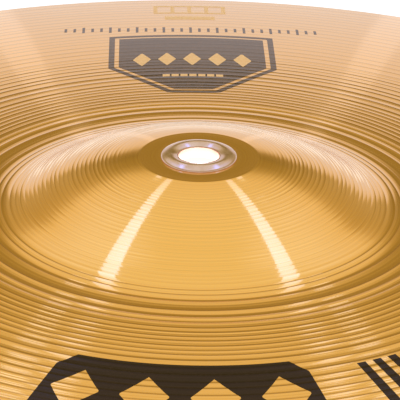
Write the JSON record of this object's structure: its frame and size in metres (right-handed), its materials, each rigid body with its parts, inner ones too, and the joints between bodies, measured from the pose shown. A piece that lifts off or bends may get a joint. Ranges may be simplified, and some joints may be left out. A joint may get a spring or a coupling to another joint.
{
  "type": "hand cymbal",
  "caption": "Round spun brass hand cymbal with a raised bell, fine turned rings and a nickel-plated eyelet in its strap hole.",
  "frame": {"origin": "centre of the circle on which the rim rests, at the cymbal's lowest point", "axes": "+Z along the cymbal's axis, out of the top of the bell; the printing is centred on the X = 0 plane"},
  "size_m": [0.4064, 0.4064, 0.0309],
  "materials": {
    "turned_brass": "turned on a lathe in fine rings, clear lacquer",
    "nickel_plate": "bright nickel plating with light handling haze",
    "dark_print": "dark brown screen-printed ink, satin",
    "pale_print": "pale gold screen-printed ink, satin"
  },
  "bodies": {
    "root": {"cymbal_plate": "turned_brass", "eyelet": "nickel_plate", "eyelet_washer": "nickel_plate"}
  },
  "joints": []
}
